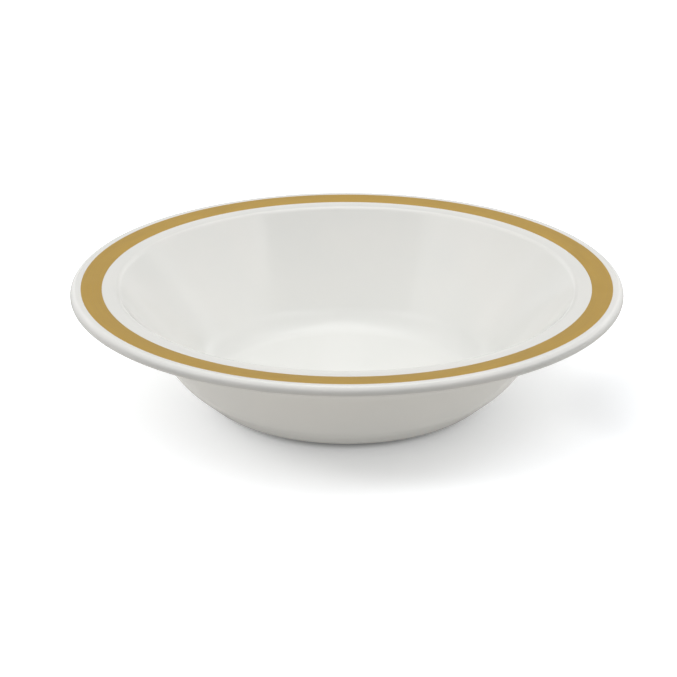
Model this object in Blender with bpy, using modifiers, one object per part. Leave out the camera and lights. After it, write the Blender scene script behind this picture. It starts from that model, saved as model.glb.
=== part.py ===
"""Porcelain serving bowl: a wide shallow bowl with a flat flange, a rolled lip and a gilt band.

Metres, +Z up. The bowl is turned about Z and stands on its foot ring, with the origin at
the middle of the ring's standing plane. It is fired as layers: the porcelain body, the
glaze over the body and in the foot's recess, and the gilding on the flange. Each layer is
a turned solid of its own, and a hair's gap keeps neighbouring layers apart.
"""

import math
from collections import namedtuple

import bpy
from mathutils import Matrix, Vector

MM = 0.001

# Rim
RIM_RADIUS = 120.0 * MM
FLANGE_RISE = math.radians(3.75)        # the flange climbs a little towards the lip
FLANGE_LINE = (99.1 * MM, 53.3 * MM)    # a place on the flange's top line
LIP_HEIGHT = 4.6 * MM                   # from the flange's top line to the lip's underside
LIP_TOP_ROUND = 2.8 * MM
LIP_BOTTOM_ROUND = 1.4 * MM
FLANGE_BACK = (114.0 * MM, 50.65 * MM)  # where the lip's roll meets the flange's underside
FLANGE_BACK_ROUND = 12.0 * MM

# Inside of the bowl, as the corners that the roundings soften
SHOULDER = (99.4 * MM, 53.7 * MM)       # the wall's inner face meets the flange's top
SHOULDER_ROUND = 3.2 * MM
SHOULDER_FOOT_RADIUS = 103.2 * MM       # outside this, the top follows the flange's line
SHOULDER_FOOT_ROUND = 40.0 * MM
WELL_EDGE = (62.4 * MM, 8.1 * MM)       # the wall's inner face meets the floor
WELL_ROUND = 22.0 * MM
FLOOR_DIP_RADIUS = 24.0 * MM            # the floor is level inside this radius
FLOOR_DIP_ROUND = 900.0 * MM
FLOOR_Z = 7.8 * MM

# Outside of the bowl
NECK = (101.6 * MM, 49.75 * MM)         # the flange's underside meets the wall
NECK_ROUND = 5.0 * MM
BELLY = (89.0 * MM, 35.4 * MM)
BELLY_ROUND = 45.0 * MM
HEEL = (74.5 * MM, 15.3 * MM)
HEEL_ROUND = 40.0 * MM
UNDERSIDE = (60.2 * MM, 2.9 * MM)
UNDERSIDE_ROUND = 16.0 * MM

# Foot ring
FOOT_OUTER_RADIUS = 51.0 * MM
FOOT_TOP_Z = 1.7 * MM                   # where the ring's outer side meets the underside
FOOT_CORNER_ROUND = 0.8 * MM
FOOT_INNER_RADIUS = 46.2 * MM
RECESS_Z = 3.4 * MM                     # depth of the hollow inside the foot ring
RECESS_ROUND = 1.2 * MM
GLAZE_LINE_Z = 0.5 * MM                 # the glaze is wiped off the ring below this height
FOOT_EDGE_ROUND = 0.35 * MM

# Gilt band
BAND_INNER_RADIUS = 106.3 * MM
BAND_OUTER_RADIUS = 115.4 * MM
BAND_THICKNESS = 0.2 * MM

# Layers
GLAZE_THICKNESS = 0.3 * MM
LAYER_GAP = 0.3 * MM
BODY_INSET = GLAZE_THICKNESS + LAYER_GAP

SEGMENTS = 48                           # round the turning axis
MERGE_DISTANCE = 0.01 * MM

Corner = namedtuple("Corner", "radius z rounding steps")


def flange_top(radius):
    """Height of the flange's top line at a radius."""
    return FLANGE_LINE[1] + (radius - FLANGE_LINE[0]) * math.tan(FLANGE_RISE)


def corner(place, rounding=0.0, steps=0):
    return Corner(place[0], place[1], rounding, steps)


def bowl_corners():
    """The glazed face from the middle of the floor, over the lip, down to the foot."""
    shoulder_foot = (SHOULDER_FOOT_RADIUS, flange_top(SHOULDER_FOOT_RADIUS))
    lip_top = (RIM_RADIUS, flange_top(RIM_RADIUS))
    lip_bottom = (RIM_RADIUS, lip_top[1] - LIP_HEIGHT)
    return [
        corner((0.0, FLOOR_Z)),
        corner((FLOOR_DIP_RADIUS, FLOOR_Z), FLOOR_DIP_ROUND, 1),
        corner(WELL_EDGE, WELL_ROUND, 4),
        corner(SHOULDER, SHOULDER_ROUND, 3),
        corner(shoulder_foot, SHOULDER_FOOT_ROUND, 1),
        corner(lip_top, LIP_TOP_ROUND, 3),
        corner(lip_bottom, LIP_BOTTOM_ROUND, 3),
        corner(FLANGE_BACK, FLANGE_BACK_ROUND, 1),
        corner(NECK, NECK_ROUND, 2),
        corner(BELLY, BELLY_ROUND, 1),
        corner(HEEL, HEEL_ROUND, 2),
        corner(UNDERSIDE, UNDERSIDE_ROUND, 3),
        corner((FOOT_OUTER_RADIUS, FOOT_TOP_Z), FOOT_CORNER_ROUND, 2),
        corner((FOOT_OUTER_RADIUS, GLAZE_LINE_Z)),
    ]


def recess_corners():
    """The glazed face inside the foot ring, from the ring to the middle of the recess."""
    return [
        corner((FOOT_INNER_RADIUS, GLAZE_LINE_Z)),
        corner((FOOT_INNER_RADIUS, RECESS_Z), RECESS_ROUND, 3),
        corner((0.0, RECESS_Z)),
    ]


def foot_corners():
    """The bare standing face of the body's foot ring, from its outer to its inner side."""
    outer = FOOT_OUTER_RADIUS - BODY_INSET
    inner = FOOT_INNER_RADIUS + BODY_INSET
    return [
        corner((outer, GLAZE_LINE_Z)),
        corner((outer, 0.0), FOOT_EDGE_ROUND, 1),
        corner((inner, 0.0), FOOT_EDGE_ROUND, 1),
        corner((inner, GLAZE_LINE_Z)),
    ]


def right_of(direction):
    return Vector((direction.y, -direction.x))


def outline(corners, inset=0.0):
    """Points along the corners' path, with each corner rounded by an arc.

    The material lies on the right of the path, and inset moves every point into it.
    """
    places = [Vector((c.radius, c.z)) for c in corners]
    legs = [(b - a).normalized() for a, b in zip(places, places[1:])]
    points = [places[0] + inset * right_of(legs[0])]
    for here, before, after, spec in zip(places[1:], legs, legs[1:], corners[1:]):
        turn = math.atan2(before.x * after.y - before.y * after.x, before.dot(after))
        start = here - before * spec.rounding * math.tan(abs(turn) / 2)
        centre = start - right_of(before) * math.copysign(spec.rounding, turn)
        for step in range(spec.steps + 1):
            swing = Matrix.Rotation(turn * step / spec.steps, 2)
            on_arc = centre + swing @ (start - centre)
            points.append(on_arc + inset * right_of(swing @ before))
    points.append(places[-1] + inset * right_of(legs[-1]))
    return points


def body_profile():
    """The whole body in section, from the floor's middle round to the recess's middle."""
    bowl = outline(bowl_corners(), BODY_INSET)
    foot = outline(foot_corners())
    recess = outline(recess_corners(), BODY_INSET)
    return on_axis(bowl + foot[1:-1] + recess)


def coat_profile(corners):
    """A glaze coat in section: its outer face and, coming back, the face on the body."""
    outer = outline(corners)
    inner = outline(corners, GLAZE_THICKNESS)
    if corners[0].radius == 0.0:
        return on_axis(outer + inner[::-1])
    return on_axis(inner[::-1] + outer)


def on_axis(points):
    """Put both ends of an open profile exactly on the turning axis."""
    points[0].x = 0.0
    points[-1].x = 0.0
    return points


def band_profile():
    """The band in section: a thin strip that follows the flange's top."""
    rise = Vector((-math.sin(FLANGE_RISE), math.cos(FLANGE_RISE)))
    edges = [Vector((r, flange_top(r))) for r in (BAND_INNER_RADIUS, BAND_OUTER_RADIUS)]
    top = [edge + rise * (LAYER_GAP + BAND_THICKNESS) for edge in edges]
    bottom = [edge + rise * LAYER_GAP for edge in reversed(edges)]
    return top + bottom


def material(name, colour, roughness, metallic=0.0):
    made = bpy.data.materials.new(name)
    made.use_nodes = True
    shader = made.node_tree.nodes["Principled BSDF"]
    shader.inputs["Base Color"].default_value = (*colour, 1.0)
    shader.inputs["Roughness"].default_value = roughness
    shader.inputs["Metallic"].default_value = metallic
    return made


def turned(name, points, finish, parent, closed=False):
    """A solid turned about Z from a profile at +X that runs down its outer side."""
    count = len(points)
    edges = [(i, i + 1) for i in range(count - 1)]
    if closed:
        edges.append((count - 1, 0))
    mesh = bpy.data.meshes.new(name)
    mesh.from_pydata([(p.x, 0.0, p.y) for p in points], edges, [])
    mesh.materials.append(finish)
    solid = bpy.data.objects.new(name, mesh)
    solid.parent = parent
    parent.users_collection[0].objects.link(solid)

    screw = solid.modifiers.new("Turn", "SCREW")
    screw.steps = SEGMENTS
    screw.render_steps = SEGMENTS
    screw.use_merge_vertices = True
    screw.merge_threshold = MERGE_DISTANCE
    screw.use_smooth_shade = True
    return solid


def clear_scene():
    for old in list(bpy.data.objects):
        bpy.data.objects.remove(old, do_unlink=True)


def build():
    clear_scene()
    collection = bpy.data.collections.new("serving_bowl")
    bpy.context.scene.collection.children.link(collection)
    base = bpy.data.objects.new("serving_bowl_base", None)
    collection.objects.link(base)

    biscuit = material("biscuit_porcelain", (0.74, 0.71, 0.65), 0.75)
    glaze = material("white_glaze", (0.82, 0.81, 0.78), 0.12)
    gilding = material("gilding", (0.46, 0.31, 0.10), 0.35, metallic=1.0)

    turned("porcelain_body", body_profile(), biscuit, base)
    turned("bowl_glaze", coat_profile(bowl_corners()), glaze, base)
    turned("recess_glaze", coat_profile(recess_corners()), glaze, base)
    turned("gilt_band", band_profile(), gilding, base, closed=True)


build()
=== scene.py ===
"""Porcelain serving bowl: the visible model, in the CAD frame (metres, +Z up).

The bowl is turned about Z in fine steps from one section. Its pieces are the glaze over the
bowl, the glaze in the foot's recess, the fired body, which shows on the foot ring, and the
gilding on the flange.
"""

import math
from collections import namedtuple

import bpy
from mathutils import Matrix, Vector


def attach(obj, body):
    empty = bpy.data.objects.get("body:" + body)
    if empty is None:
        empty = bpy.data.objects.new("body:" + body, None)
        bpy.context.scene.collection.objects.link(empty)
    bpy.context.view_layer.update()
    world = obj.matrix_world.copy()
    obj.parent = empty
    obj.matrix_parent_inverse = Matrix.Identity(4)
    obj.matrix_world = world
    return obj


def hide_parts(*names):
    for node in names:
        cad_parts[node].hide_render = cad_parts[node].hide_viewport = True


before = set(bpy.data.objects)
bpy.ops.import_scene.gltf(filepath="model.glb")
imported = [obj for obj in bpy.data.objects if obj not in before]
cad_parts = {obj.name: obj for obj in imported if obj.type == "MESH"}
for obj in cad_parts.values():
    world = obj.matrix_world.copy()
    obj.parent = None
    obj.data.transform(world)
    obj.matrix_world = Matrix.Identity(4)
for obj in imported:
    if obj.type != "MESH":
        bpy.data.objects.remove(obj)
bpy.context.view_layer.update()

MM = 0.001

# Rim
RIM_RADIUS = 120.0 * MM
FLANGE_RISE = math.radians(3.75)
FLANGE_LINE = (99.1 * MM, 53.3 * MM)    # a place on the flange's top line
LIP_HEIGHT = 4.6 * MM                   # from the flange's top line to the lip's underside
LIP_TOP_ROUND = 2.8 * MM
LIP_BOTTOM_ROUND = 1.4 * MM
FLANGE_BACK = (114.0 * MM, 50.65 * MM)  # where the lip's roll meets the flange's underside
FLANGE_BACK_ROUND = 12.0 * MM

# Inside of the bowl, as the corners that the roundings soften
SHOULDER = (99.4 * MM, 53.7 * MM)       # the wall's inner face meets the flange's top
SHOULDER_ROUND = 3.2 * MM
SHOULDER_FOOT_RADIUS = 103.2 * MM       # outside this, the top follows the flange's line
SHOULDER_FOOT_ROUND = 40.0 * MM
WELL_EDGE = (62.4 * MM, 8.1 * MM)       # the wall's inner face meets the floor
WELL_ROUND = 22.0 * MM
FLOOR_DIP_RADIUS = 24.0 * MM            # the floor is level inside this radius
FLOOR_DIP_ROUND = 900.0 * MM
FLOOR_Z = 7.8 * MM

# Outside of the bowl
NECK = (101.6 * MM, 49.75 * MM)         # the flange's underside meets the wall
NECK_ROUND = 5.0 * MM
BELLY = (89.0 * MM, 35.4 * MM)
BELLY_ROUND = 45.0 * MM
HEEL = (74.5 * MM, 15.3 * MM)
HEEL_ROUND = 40.0 * MM
UNDERSIDE = (60.2 * MM, 2.9 * MM)
UNDERSIDE_ROUND = 16.0 * MM

# Foot ring
FOOT_OUTER_RADIUS = 51.0 * MM
FOOT_TOP_Z = 1.7 * MM                   # where the ring's outer side meets the underside
FOOT_CORNER_ROUND = 0.8 * MM
FOOT_INNER_RADIUS = 46.2 * MM
RECESS_Z = 3.4 * MM                     # depth of the hollow inside the foot ring
RECESS_ROUND = 1.2 * MM
GLAZE_LINE_Z = 0.5 * MM                 # the glaze is wiped off the ring below this height
FOOT_EDGE_ROUND = 0.35 * MM

# Layers
GLAZE_THICKNESS = 0.15 * MM
BODY_INSET = 0.16 * MM                  # the body's face lies this deep under the glaze's
BAND_INNER_RADIUS = 106.3 * MM
BAND_OUTER_RADIUS = 115.4 * MM
BAND_THICKNESS = 0.04 * MM
BAND_LIFT = 0.01 * MM
BAND_EDGE = 0.08 * MM                   # width over which the gilding thins out at its edges
BAND_EDGE_SHARE = 0.3                   # of its thickness at the very edge
BAND_NEAR_EDGE_SHARE = 0.8              # and a third of the way in

SEGMENTS = 256                          # round the turning axis
ON_AXIS = 0.001 * MM                    # a point nearer than this lies on the axis

NOISE_RANGE = (0.3, 0.7)                # nearly all of a noise's values lie in it

# Glaze
GLAZE_COLOUR = (0.81, 0.802, 0.767)
GLAZE_THIN_COLOUR = (0.83, 0.82, 0.79)
GLAZE_POOLED_COLOUR = (0.76, 0.77, 0.745)
GLAZE_THIN_START = 112.0 * MM           # the glaze runs thin from here to the rim
GLAZE_POOL_TOP = 30.0 * MM              # and pools from this height
GLAZE_POOL_BOTTOM = 6.0 * MM            # down to this one
GLAZE_POOL_STRENGTH = 0.5
GLAZE_IOR = 1.52
GLAZE_GLOSS = (0.055, 0.085)            # roughness, least and most
GLAZE_PATCHES = 45.0                    # noise cells per metre, here and below
MOTTLE_GRAIN = 22.0
MOTTLE_RANGE = (0.35, 0.65)
MOTTLE_STRENGTH = 0.35
WAVE_DEPTH = 0.012 * MM
PEEL_GRAIN = 420.0
PEEL_DEPTH = 0.0008 * MM
MARK_DEPTH = 0.01 * MM                  # of specks, which stand up, and scratches

# Specks in the glaze, and scratches in the well
SPECK_COLOUR = (0.42, 0.36, 0.28)
SPECK_CELLS = 95.0
SPECK_PICK = 7.31                       # any number that isn't round picks them at random
SPECK_RARITY = 0.95
SPECK_SIZE = (0.028, 0.012)             # of a cell, where a speck fades out and is full
SPECK_STRENGTH = 0.5
SCRATCH_STRETCH = (60.0, 2600.0, 1.0)
SCRATCH_ANGLE = (0.0, 0.0, 0.6)
SCRATCH_PEAKS = (0.68, 0.74)            # of the noise, where a scratch sets in and is full
SCRATCH_WAVER = 0.4
SCRATCH_WELL = (60.0 * MM, 40.0 * MM)   # none outside the first radius, all inside the second
SCRATCH_ROUGHNESS = 0.12
SCRATCH_DEPTH_SHARE = 0.3

# Bare body
BISCUIT_COLOUR = (0.72, 0.69, 0.62)
BISCUIT_MARK_COLOUR = (0.50, 0.47, 0.43)
BISCUIT_ROUGHNESS = (0.85, 0.7)         # clean, and where the shelf has marked it
BISCUIT_GRAIN = 3200.0
BISCUIT_GRAIN_STRENGTH = 0.25
BISCUIT_BLOTCHES = 140.0
BISCUIT_BLOTCH_PEAKS = (0.52, 0.72)
BISCUIT_BLOTCH_STRENGTH = 0.5
BISCUIT_GRAIN_DEPTH = 0.03 * MM

# Gilding
GOLD_COLOUR = (0.56, 0.365, 0.085)
GOLD_DARK_COLOUR = (0.51, 0.325, 0.07)
GOLD_METALLIC = 0.5
GOLD_ROUGHNESS = (0.42, 0.52)           # across the strokes
GOLD_PATCH_ROUGHNESS = (-0.03, 0.03)    # added to that in patches
STROKES_ROUND = 5.0                     # how fast a stroke changes round the bowl
STROKES_ACROSS = 2600.0                 # and from stroke to stroke
STROKE_RANGE = (0.25, 0.75)
STROKE_DEPTH = 0.006 * MM
GOLD_PATCHES = 38.0
GOLD_PATCH_RANGE = (0.35, 0.7)
GOLD_PATCH_STRENGTH = 0.3
GOLD_GRAIN = 2400.0
GOLD_GRAIN_DEPTH = 0.003 * MM

# Camera
CAMERA_DISTANCE = 1.2
CAMERA_ELEVATION = math.radians(21.97)
CAMERA_LENS = 145.44
CAMERA_SENSOR = 36.0
CAMERA_AIM = Vector((-3.60 * MM, 0.0, 27.34 * MM))

# Floor, and the pale walls at its edges
WHITE = (1.0, 1.0, 1.0)
BLACK = (0.0, 0.0, 0.0)
BOWL_CENTRE = (0.0, 0.0, 0.0)
PAPER = {"Roughness": 0.9, "Specular_IOR_Level": 0.2}
FLOOR_HALF_SIDE = 3.0
FLOOR_COLOUR = (0.94, 0.957, 0.985)
CONTACT_START = 51.0 * MM               # the floor's glow sets in round the foot, leaving a painted contact shadow
CONTACT_END = 59.0 * MM
CONTACT_GLOW = 0.277
POOL_CENTRE = (42.0 * MM, 0.0, 0.0)     # and grows outside a wide pool of painted shade
POOL_START = 80.0 * MM
POOL_END = 108.0 * MM
POOL_GLOW = 0.105
SIDE_CENTRE = (150.0 * MM, -10.0 * MM, 0.0)     # with a faint painted shade far out on the right
SIDE_START = 37.0 * MM
SIDE_END = 65.0 * MM
SIDE_SHARE = 0.55
BACKDROP_HEIGHT = 3.0
BACKDROP_GLOW = (1.0, 0.8)              # at the bottom and at the top

# Card under the floor that throws light back at the bowl
BOUNCE_HALF_SIDE = 250.0 * MM
BOUNCE_COLOUR = (0.50, 0.48, 0.45)
BOUNCE_GLOW_UNDER = 0.12                # under the bowl's foot
BOUNCE_GLOW = 0.437
BOUNCE_GLOW_FULL = 80.0 * MM            # the glow is full from here
BOUNCE_GLOW_REACH = 130.0 * MM          # to here, and fades towards the card's side
BOUNCE_DEPTH = 0.05 * MM

Corner = namedtuple("Corner", "radius z rounding steps")


# ---------------------------------------------------------------- section

def flange_top(radius):
    """Height of the flange's top line at a radius."""
    return FLANGE_LINE[1] + (radius - FLANGE_LINE[0]) * math.tan(FLANGE_RISE)


def corner(place, rounding=0.0, steps=0):
    return Corner(place[0], place[1], rounding, steps)


def bowl_corners():
    """The glazed face from the middle of the floor, over the lip, down to the foot."""
    shoulder_foot = (SHOULDER_FOOT_RADIUS, flange_top(SHOULDER_FOOT_RADIUS))
    lip_top = (RIM_RADIUS, flange_top(RIM_RADIUS))
    lip_bottom = (RIM_RADIUS, lip_top[1] - LIP_HEIGHT)
    return [
        corner((0.0, FLOOR_Z)),
        corner((FLOOR_DIP_RADIUS, FLOOR_Z), FLOOR_DIP_ROUND, 6),
        corner(WELL_EDGE, WELL_ROUND, 20),
        corner(SHOULDER, SHOULDER_ROUND, 14),
        corner(shoulder_foot, SHOULDER_FOOT_ROUND, 6),
        corner(lip_top, LIP_TOP_ROUND, 14),
        corner(lip_bottom, LIP_BOTTOM_ROUND, 10),
        corner(FLANGE_BACK, FLANGE_BACK_ROUND, 4),
        corner(NECK, NECK_ROUND, 12),
        corner(BELLY, BELLY_ROUND, 6),
        corner(HEEL, HEEL_ROUND, 8),
        corner(UNDERSIDE, UNDERSIDE_ROUND, 10),
        corner((FOOT_OUTER_RADIUS, FOOT_TOP_Z), FOOT_CORNER_ROUND, 6),
        corner((FOOT_OUTER_RADIUS, GLAZE_LINE_Z)),
    ]


def recess_corners():
    """The glazed face inside the foot ring, from the ring to the middle of the recess."""
    return [
        corner((FOOT_INNER_RADIUS, GLAZE_LINE_Z)),
        corner((FOOT_INNER_RADIUS, RECESS_Z), RECESS_ROUND, 8),
        corner((0.0, RECESS_Z)),
    ]


def foot_corners():
    """The bare standing face of the body's foot ring, from its outer to its inner side."""
    outer = FOOT_OUTER_RADIUS - BODY_INSET
    inner = FOOT_INNER_RADIUS + BODY_INSET
    return [
        corner((outer, GLAZE_LINE_Z)),
        corner((outer, 0.0), FOOT_EDGE_ROUND, 5),
        corner((inner, 0.0), FOOT_EDGE_ROUND, 5),
        corner((inner, GLAZE_LINE_Z)),
    ]


def right_of(direction):
    return Vector((direction.y, -direction.x))


def outline(corners, inset=0.0):
    """Points along the corners' path, with each corner rounded by an arc.

    The material lies on the right of the path, and inset moves every point into it.
    """
    places = [Vector((c.radius, c.z)) for c in corners]
    legs = [(b - a).normalized() for a, b in zip(places, places[1:])]
    points = [places[0] + inset * right_of(legs[0])]
    for here, before, after, spec in zip(places[1:], legs, legs[1:], corners[1:]):
        turn = math.atan2(before.x * after.y - before.y * after.x, before.dot(after))
        start = here - before * spec.rounding * math.tan(abs(turn) / 2)
        centre = start - right_of(before) * math.copysign(spec.rounding, turn)
        for step in range(spec.steps + 1):
            swing = Matrix.Rotation(turn * step / spec.steps, 2)
            on_arc = centre + swing @ (start - centre)
            points.append(on_arc + inset * right_of(swing @ before))
    points.append(places[-1] + inset * right_of(legs[-1]))
    return points


def coat_profile(corners):
    """A glaze coat in section: its outer face and, coming back, the face on the body."""
    return outline(corners) + outline(corners, GLAZE_THICKNESS)[::-1]


def body_profile():
    """The whole body in section, from the floor's middle round to the recess's middle."""
    bowl = outline(bowl_corners(), BODY_INSET)
    foot = outline(foot_corners())
    recess = outline(recess_corners(), BODY_INSET)
    return bowl + foot[1:-1] + recess


def band_profile():
    """The gilding in section: a film on the flange that thins out at both edges."""
    rise = Vector((-math.sin(FLANGE_RISE), math.cos(FLANGE_RISE)))
    stops = [
        (BAND_INNER_RADIUS, BAND_EDGE_SHARE),
        (BAND_INNER_RADIUS + BAND_EDGE / 3, BAND_NEAR_EDGE_SHARE),
        (BAND_INNER_RADIUS + BAND_EDGE, 1.0),
        (BAND_OUTER_RADIUS - BAND_EDGE, 1.0),
        (BAND_OUTER_RADIUS - BAND_EDGE / 3, BAND_NEAR_EDGE_SHARE),
        (BAND_OUTER_RADIUS, BAND_EDGE_SHARE),
    ]
    top = [Vector((r, flange_top(r))) + rise * (BAND_LIFT + BAND_THICKNESS * share)
           for r, share in stops]
    bottom = [Vector((r, flange_top(r))) + rise * BAND_LIFT
              for r in (BAND_OUTER_RADIUS, BAND_INNER_RADIUS)]
    return top + bottom


# ---------------------------------------------------------------- turned pieces

def turned(name, points, finish, nodes):
    """A closed solid turned about Z from its section, which is closed or ends on the axis."""
    spin = [(math.cos(math.tau * k / SEGMENTS), math.sin(math.tau * k / SEGMENTS))
            for k in range(SEGMENTS)]
    vertices, rings = [], []
    for point in points:
        on_axis = abs(point.x) < ON_AXIS
        around = [(0.0, 0.0)] if on_axis else [(point.x * c, point.x * s) for c, s in spin]
        rings.append(range(len(vertices), len(vertices) + len(around)))
        vertices.extend((x, y, point.y) for x, y in around)

    pairs = list(zip(rings, rings[1:]))
    if len(rings[0]) > 1:
        pairs.append((rings[-1], rings[0]))
    faces = []
    for here, there in pairs:
        for k in range(SEGMENTS):
            after = (k + 1) % SEGMENTS
            near = [here[after], here[k]] if len(here) > 1 else [here[0]]
            far = [there[k], there[after]] if len(there) > 1 else [there[0]]
            if len(near) + len(far) > 2:
                faces.append(near + far)

    mesh = bpy.data.meshes.new(name)
    mesh.from_pydata(vertices, [], faces)
    mesh.materials.append(finish)
    mesh.shade_smooth()
    piece = bpy.data.objects.new(name, mesh)
    bpy.context.scene.collection.objects.link(piece)
    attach(piece, "root")
    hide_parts(*nodes)


# ---------------------------------------------------------------- materials

class Nodes:
    """A node tree, with short calls for the nodes used here."""

    def __init__(self, tree):
        self.tree = tree

    def node(self, kind, **settings):
        made = self.tree.nodes.new(kind)
        for key, value in settings.items():
            setattr(made, key, value)
        return made

    def feed(self, socket, value):
        if isinstance(value, bpy.types.NodeSocket):
            self.tree.links.new(value, socket)
        elif isinstance(value, tuple) and len(value) == 3 and socket.type == "RGBA":
            socket.default_value = (*value, 1.0)
        else:
            socket.default_value = value

    def math(self, operation, *values, clamp=False):
        made = self.node("ShaderNodeMath", operation=operation, use_clamp=clamp)
        for socket, value in zip(made.inputs, values):
            self.feed(socket, value)
        return made.outputs[0]

    def noise(self, place, scale, detail=2.0, roughness=0.5, distortion=0.0):
        made = self.node("ShaderNodeTexNoise")
        for key, value in (("Vector", place), ("Scale", scale), ("Detail", detail),
                           ("Roughness", roughness), ("Distortion", distortion)):
            self.feed(made.inputs[key], value)
        return made.outputs["Fac"]

    def ramp(self, value, low, high, start=0.0, end=1.0):
        """value from low to high, as start to end with soft ends."""
        made = self.node("ShaderNodeMapRange", interpolation_type="SMOOTHSTEP")
        for key, number in (("Value", value), ("From Min", low), ("From Max", high),
                            ("To Min", start), ("To Max", end)):
            self.feed(made.inputs[key], number)
        return made.outputs["Result"]

    def mix(self, share, first, second):
        made = self.node("ShaderNodeMix", data_type="RGBA")
        self.feed(made.inputs["Factor"], share)
        self.feed(made.inputs["A"], first)
        self.feed(made.inputs["B"], second)
        return made.outputs["Result"]

    def bump(self, height, distance, under=None):
        made = self.node("ShaderNodeBump")
        self.feed(made.inputs["Height"], height)
        self.feed(made.inputs["Distance"], distance)
        if under is not None:
            self.feed(made.inputs["Normal"], under)
        return made.outputs["Normal"]

    def split(self, vector):
        made = self.node("ShaderNodeSeparateXYZ")
        self.feed(made.inputs[0], vector)
        return made.outputs

    def join(self, x, y, z):
        made = self.node("ShaderNodeCombineXYZ")
        for socket, value in zip(made.inputs, (x, y, z)):
            self.feed(socket, value)
        return made.outputs[0]


class Finish(Nodes):
    """The node tree of a new material, which reads places on the object in metres."""

    def __init__(self, name):
        self.material = bpy.data.materials.new(name)
        self.material.use_nodes = True
        super().__init__(self.material.node_tree)
        self.place = self.node("ShaderNodeTexCoord").outputs["Object"]

    def from_axis(self, x, y):
        """How far (x, y) is from the turning axis."""
        return self.math("SQRT", self.math("ADD", self.math("MULTIPLY", x, x),
                                           self.math("MULTIPLY", y, y)))

    def distance(self, centre):
        """How far a place is from a centre."""
        away = self.node("ShaderNodeVectorMath", operation="DISTANCE")
        self.feed(away.inputs[0], self.place)
        self.feed(away.inputs[1], centre)
        return away.outputs["Value"]

    def made(self, **inputs):
        shader = self.tree.nodes["Principled BSDF"]
        for key, value in inputs.items():
            self.feed(shader.inputs[key.replace("_", " ")], value)
        return self.material


def glaze_material():
    """Glossy warm white glaze: a hair of waviness, pooled low down, sparse faint specks."""
    n = Finish("bowl_white_glaze")
    x, y, height = n.split(n.place)
    radius = n.from_axis(x, y)

    mottle = n.ramp(n.noise(n.place, MOTTLE_GRAIN, detail=3.0), *MOTTLE_RANGE,
                    0.0, MOTTLE_STRENGTH)
    thin = n.ramp(radius, GLAZE_THIN_START, RIM_RADIUS)
    pooled = n.ramp(height, GLAZE_POOL_TOP, GLAZE_POOL_BOTTOM, 0.0, GLAZE_POOL_STRENGTH)
    colour = n.mix(thin, GLAZE_COLOUR, GLAZE_THIN_COLOUR)
    colour = n.mix(pooled, colour, GLAZE_POOLED_COLOUR)
    colour = n.mix(mottle, colour, GLAZE_POOLED_COLOUR)

    cells = n.node("ShaderNodeTexVoronoi")
    n.feed(cells.inputs["Vector"], n.place)
    n.feed(cells.inputs["Scale"], SPECK_CELLS)
    draw = n.math("FRACT", n.math("MULTIPLY", cells.outputs["Color"], SPECK_PICK))
    chosen = n.math("GREATER_THAN", draw, SPECK_RARITY)
    speck = n.math("MULTIPLY", chosen, n.ramp(cells.outputs["Distance"], *SPECK_SIZE))
    colour = n.mix(n.math("MULTIPLY", speck, SPECK_STRENGTH), colour, SPECK_COLOUR)

    drawn_out = n.node("ShaderNodeMapping")
    n.feed(drawn_out.inputs["Vector"], n.place)
    drawn_out.inputs["Scale"].default_value = SCRATCH_STRETCH
    drawn_out.inputs["Rotation"].default_value = SCRATCH_ANGLE
    lines = n.noise(drawn_out.outputs[0], 1.0, detail=1.0, distortion=SCRATCH_WAVER)
    scratches = n.math("MULTIPLY", n.ramp(lines, *SCRATCH_PEAKS),
                       n.ramp(radius, *SCRATCH_WELL))

    gloss = n.ramp(n.noise(n.place, GLAZE_PATCHES, detail=4.0), *NOISE_RANGE, *GLAZE_GLOSS)
    roughness = n.math("ADD", gloss, n.math("MULTIPLY", scratches, SCRATCH_ROUGHNESS),
                       clamp=True)

    wave = n.bump(n.noise(n.place, GLAZE_PATCHES, detail=1.0), WAVE_DEPTH)
    peel = n.bump(n.noise(n.place, PEEL_GRAIN, detail=1.0), PEEL_DEPTH, wave)
    cuts = n.math("MULTIPLY", scratches, SCRATCH_DEPTH_SHARE)
    marks = n.bump(n.math("SUBTRACT", speck, cuts), MARK_DEPTH, peel)
    return n.made(Base_Color=colour, Roughness=roughness, IOR=GLAZE_IOR, Normal=marks)


def biscuit_material():
    """Bare fired porcelain: fine matt grain, with faint grey marks of the shelf it stood on."""
    n = Finish("bowl_bare_biscuit")
    grain = n.noise(n.place, BISCUIT_GRAIN, detail=3.0, roughness=0.7)
    blotch = n.noise(n.place, BISCUIT_BLOTCHES, detail=4.0)
    colour = n.mix(n.ramp(grain, *NOISE_RANGE, 0.0, BISCUIT_GRAIN_STRENGTH),
                   BISCUIT_COLOUR, BISCUIT_MARK_COLOUR)
    colour = n.mix(n.ramp(blotch, *BISCUIT_BLOTCH_PEAKS, 0.0, BISCUIT_BLOTCH_STRENGTH),
                   colour, BISCUIT_MARK_COLOUR)
    return n.made(Base_Color=colour,
                  Roughness=n.ramp(blotch, *NOISE_RANGE, *BISCUIT_ROUGHNESS),
                  Normal=n.bump(grain, BISCUIT_GRAIN_DEPTH))


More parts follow.
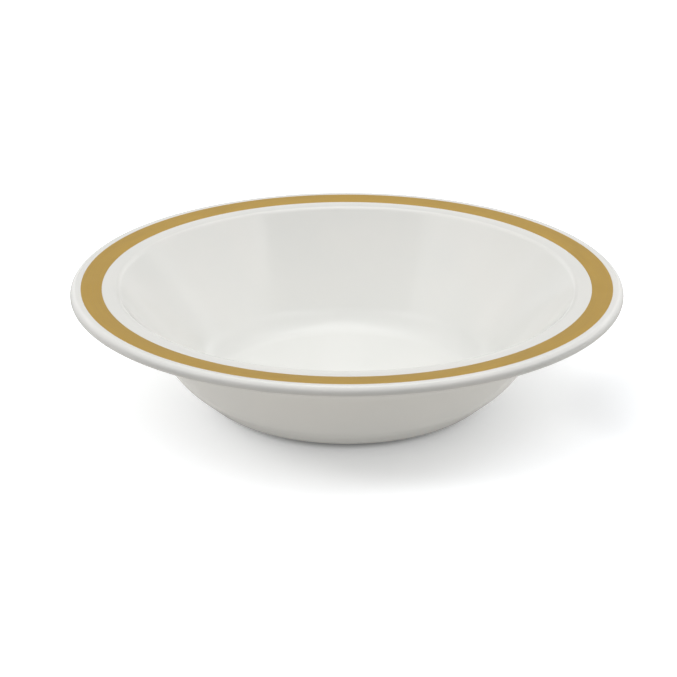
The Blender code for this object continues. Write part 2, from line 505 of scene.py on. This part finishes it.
def gilding_material():
    """Satin gold laid on a banding wheel, in fine strokes that run round."""
    n = Finish("bowl_gilding")
    x, y, _height = n.split(n.place)
    radius = n.from_axis(x, y)
    along = n.join(n.math("MULTIPLY", n.math("DIVIDE", x, radius), STROKES_ROUND),
                   n.math("MULTIPLY", n.math("DIVIDE", y, radius), STROKES_ROUND),
                   n.math("MULTIPLY", radius, STROKES_ACROSS))
    strokes = n.noise(along, 1.0, detail=3.0, roughness=0.6)
    patches = n.noise(n.place, GOLD_PATCHES, detail=3.0)
    colour = n.mix(n.ramp(strokes, *NOISE_RANGE), GOLD_DARK_COLOUR, GOLD_COLOUR)
    colour = n.mix(n.ramp(patches, *GOLD_PATCH_RANGE, 0.0, GOLD_PATCH_STRENGTH),
                   colour, GOLD_DARK_COLOUR)
    roughness = n.math("ADD", n.ramp(strokes, *STROKE_RANGE, *GOLD_ROUGHNESS),
                       n.ramp(patches, *NOISE_RANGE, *GOLD_PATCH_ROUGHNESS))
    grain = n.bump(n.noise(n.place, GOLD_GRAIN, detail=2.0), GOLD_GRAIN_DEPTH)
    return n.made(Base_Color=colour, Metallic=GOLD_METALLIC, Roughness=roughness,
                  Normal=n.bump(strokes, STROKE_DEPTH, grain))


def floor_material():
    """White floor, lightened by a glow as such floors are in a catalogue picture; the glow is
    painted light, held back to paint the bowl's shadow round the foot, in a wide pool and
    faintly on the right.
    """
    n = Finish("studio_floor_painted_shadow")
    # Painted light: the floor's glow is low round the foot, painting a contact shadow there.
    light_past_painted_foot_shadow = n.ramp(n.distance(BOWL_CENTRE), CONTACT_START, CONTACT_END, 0.0, CONTACT_GLOW)
    light_past_painted_shade_pool = n.ramp(n.distance(POOL_CENTRE), POOL_START, POOL_END, 0.0, POOL_GLOW)
    # Painted shade: the glow is dimmed in a faint patch far out on the right.
    side = n.ramp(n.distance(SIDE_CENTRE), SIDE_START, SIDE_END, SIDE_SHARE, 1.0)
    glow = n.math("ADD", n.math("MULTIPLY", light_past_painted_foot_shadow, side), light_past_painted_shade_pool)
    return n.made(Base_Color=FLOOR_COLOUR, Emission_Color=WHITE, Emission_Strength=glow,
                  **PAPER)


def backdrop_material():
    """Pale paper, a little dimmer the higher it goes."""
    n = Finish("studio_backdrop_paper")
    glow = n.ramp(n.split(n.place)[2], 0.0, BACKDROP_HEIGHT, *BACKDROP_GLOW)
    return n.made(Base_Color=BLACK, Roughness=1.0, Specular_IOR_Level=0.0,
                  Emission_Color=WHITE, Emission_Strength=glow)


def bounce_material():
    """Pale card that is lit round the bowl, and fades out towards its edges."""
    n = Finish("studio_bounce_card")
    radius = n.distance(BOWL_CENTRE)
    glow = n.ramp(radius, FOOT_OUTER_RADIUS, BOUNCE_GLOW_FULL, BOUNCE_GLOW_UNDER, BOUNCE_GLOW)
    fade = n.ramp(radius, BOUNCE_HALF_SIDE, BOUNCE_GLOW_REACH)
    return n.made(Base_Color=BOUNCE_COLOUR, Emission_Color=WHITE,
                  Emission_Strength=n.math("MULTIPLY", glow, fade), **PAPER)


# ---------------------------------------------------------------- stage

def square(half_side, height):
    return [(x * half_side, y * half_side, height)
            for x, y in ((-1, -1), (1, -1), (1, 1), (-1, 1))]


def stage_piece(name, places, faces, finish, seen):
    """Part of the studio, which only the camera sees, or which everything but it sees."""
    mesh = bpy.data.meshes.new(name)
    mesh.from_pydata(places, [], faces)
    mesh.materials.append(finish)
    piece = bpy.data.objects.new(name, mesh)
    bpy.context.scene.collection.objects.link(piece)
    piece.visible_camera = seen
    piece.visible_diffuse = not seen
    piece.visible_glossy = not seen
    piece.visible_shadow = not seen


def build_stage():
    """The floor and the walls that show, and a card that throws light back at the bowl."""
    ground = square(FLOOR_HALF_SIDE, 0.0)
    walls = [(i, (i + 1) % 4, 4 + (i + 1) % 4, 4 + i) for i in range(4)]
    stage_piece("studio_floor", ground, [(0, 1, 2, 3)], floor_material(), True)
    stage_piece("studio_backdrop", ground + square(FLOOR_HALF_SIDE, BACKDROP_HEIGHT), walls,
                backdrop_material(), True)
    stage_piece("studio_bounce", square(BOUNCE_HALF_SIDE, -BOUNCE_DEPTH), [(0, 1, 2, 3)],
                bounce_material(), False)


def build_camera():
    data = bpy.data.cameras.new("camera")
    data.lens = CAMERA_LENS
    data.sensor_width = CAMERA_SENSOR
    camera = bpy.data.objects.new("camera", data)
    bpy.context.scene.collection.objects.link(camera)
    back = Vector((0.0, -math.cos(CAMERA_ELEVATION), math.sin(CAMERA_ELEVATION)))
    camera.location = CAMERA_AIM + CAMERA_DISTANCE * back
    camera.rotation_euler = back.to_track_quat("Z", "Y").to_euler()
    bpy.context.scene.camera = camera


# A soft light in the studio's air: its glow, where it starts and ends round the bowl
# (azimuth, 0 at +X and 90 at +Y) and above it (elevation), how soft each of those edges is,
# all in degrees, and how much the azimuth slants per degree of elevation.
Panel = namedtuple("Panel", "glow low high start end soft_low soft_high soft_start soft_end "
                            "slant", defaults=(90, -180, 180, 8, 8, 8, 8, 0))
SLANT_LEVEL = 47.0                      # the elevation at which a panel keeps its azimuth
TOP = 90
ALL_ROUND = 360
PANELS = [
    # walls and ceiling
    Panel(glow=0.471, low=26, high=45),
    Panel(glow=1.031, low=45, soft_low=16),
    # over the camera
    Panel(glow=0.584, low=45, high=80, start=-147, end=-23),
    # tall lights on the right and on the left
    Panel(glow=1.549, low=26, high=66, start=-19, end=18,
          soft_low=22, soft_high=28, soft_start=3, soft_end=50, slant=-1.8),
    Panel(glow=1.373, low=26, high=66, start=164, end=208,
          soft_low=12, soft_high=14, soft_start=50, soft_end=7, slant=0.8),
    # high and low at the back
    Panel(glow=1.121, low=50, high=80, start=70, end=106, soft_low=10, soft_high=4),
    Panel(glow=0.277, low=4, high=30, start=73, end=107, soft_high=6),
    # pale ground far behind
    Panel(glow=0.9, low=-60, high=4, start=0, end=180, soft_start=20, soft_end=20),
    # low at the back right, at the back left and on the left
    Panel(glow=1.008, low=4, high=28, start=22, end=74),
    Panel(glow=0.978, low=4, high=28, start=106, end=158),
    Panel(glow=0.34, low=3, high=22, start=157, end=213),
]


def build_world():
    """Dark air with the studio's light panels in it."""
    world = bpy.data.worlds.new("studio_air")
    world.use_nodes = True
    n = Nodes(world.node_tree)
    x, y, z = n.split(n.node("ShaderNodeTexCoord").outputs["Generated"])
    elevation = n.math("DEGREES", n.math("ARCSINE", z))
    azimuth = n.math("DEGREES", n.math("ARCTAN2", y, x))

    total = 0.0
    for panel in PANELS:
        glow = n.ramp(elevation, panel.low - panel.soft_low / 2,
                      panel.low + panel.soft_low / 2, 0.0, panel.glow)
        if panel.high < TOP:
            glow = n.math("MULTIPLY", glow, n.ramp(
                elevation, panel.high + panel.soft_high / 2, panel.high - panel.soft_high / 2))
        if panel.end - panel.start < ALL_ROUND:
            middle = (panel.start + panel.end) / 2
            half = (panel.end - panel.start) / 2
            centre = n.math("ADD", middle, n.math(
                "MULTIPLY", panel.slant, n.math("SUBTRACT", elevation, SLANT_LEVEL)))
            off = n.math("WRAP", n.math("SUBTRACT", azimuth, centre), 180.0, -180.0)
            for side, soft in ((-half, panel.soft_start), (half, panel.soft_end)):
                inwards = math.copysign(soft / 2, -side)
                glow = n.math("MULTIPLY", glow, n.ramp(off, side - inwards, side + inwards))
        total = n.math("ADD", glow, total)

    air = n.tree.nodes["Background"]
    n.feed(air.inputs["Color"], WHITE)
    n.feed(air.inputs["Strength"], total)
    bpy.context.scene.world = world
    bpy.context.scene.view_settings.view_transform = "Standard"


# ---------------------------------------------------------------- build

def build():
    glaze = glaze_material()
    turned("glazed_bowl", coat_profile(bowl_corners()), glaze, ["bowl_glaze"])
    turned("glazed_recess", coat_profile(recess_corners()), glaze, ["recess_glaze"])
    turned("fired_body", body_profile(), biscuit_material(), ["porcelain_body"])
    turned("gilding", band_profile(), gilding_material(), ["gilt_band"])
    build_stage()
    build_camera()
    build_world()


build()
